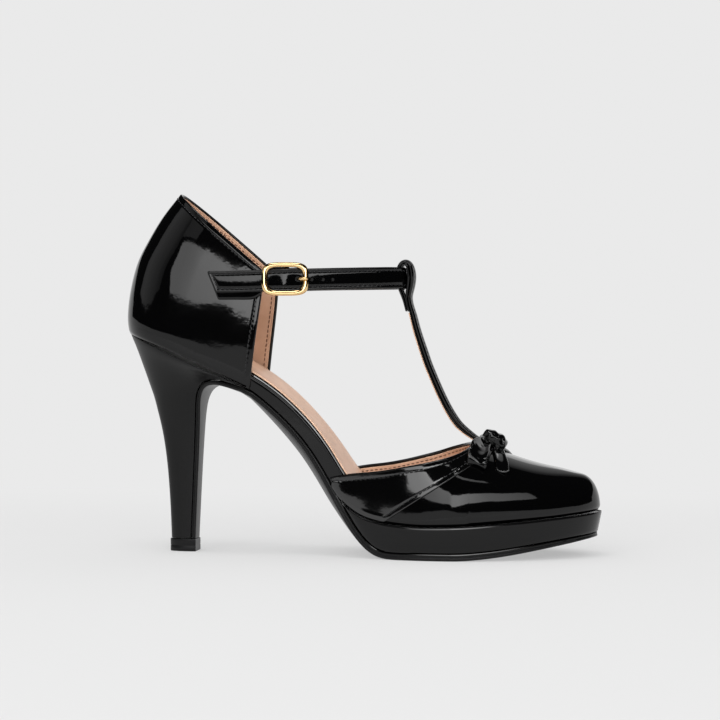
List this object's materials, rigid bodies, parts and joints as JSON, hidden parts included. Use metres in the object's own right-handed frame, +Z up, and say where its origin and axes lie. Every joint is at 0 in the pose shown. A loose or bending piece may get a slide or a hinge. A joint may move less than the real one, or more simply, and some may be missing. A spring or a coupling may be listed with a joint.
{
  "type": "heeled shoe",
  "caption": "Black patent T-strap platform pump with slim covered high heel, closed toe and heel cup, open waist, ankle strap with gold buckle and small ribbon bow, for the right foot.",
  "frame": {"origin": "on the floor, under the middle of the shoe's box", "axes": "+X from heel to toe, +Y to the medial (inner) side of this right shoe, +Z up"},
  "size_m": [0.2232, 0.0818, 0.1688],
  "materials": {
    "patent_leather": "black patent leather, high gloss",
    "bow_patent": "thin black patent ribbon, high gloss",
    "platform_cover": "black cover, satin",
    "heel_cover": "black cover, semi-gloss",
    "sole_rubber": "black rubber, satin",
    "nude_leather": "nude lining leather, matt with fine grain",
    "gold_metal": "polished gold plating"
  },
  "bodies": {
    "root": {"outsole": "sole_rubber", "platform": "platform_cover", "heel": "heel_cover", "heel_tip": "sole_rubber", "insole_board": "patent_leather", "insole": "nude_leather", "vamp": "patent_leather", "quarter": "patent_leather", "t_strap": "patent_leather", "ankle_strap": "patent_leather", "buckle_frame": "gold_metal", "buckle_prong": "gold_metal", "buckle_tab": "patent_leather", "bow_knot": "bow_patent", "bow_loop_lateral": "bow_patent", "bow_loop_medial": "bow_patent", "bow_tail_lateral": "bow_patent", "bow_tail_medial": "bow_patent"}
  },
  "joints": []
}
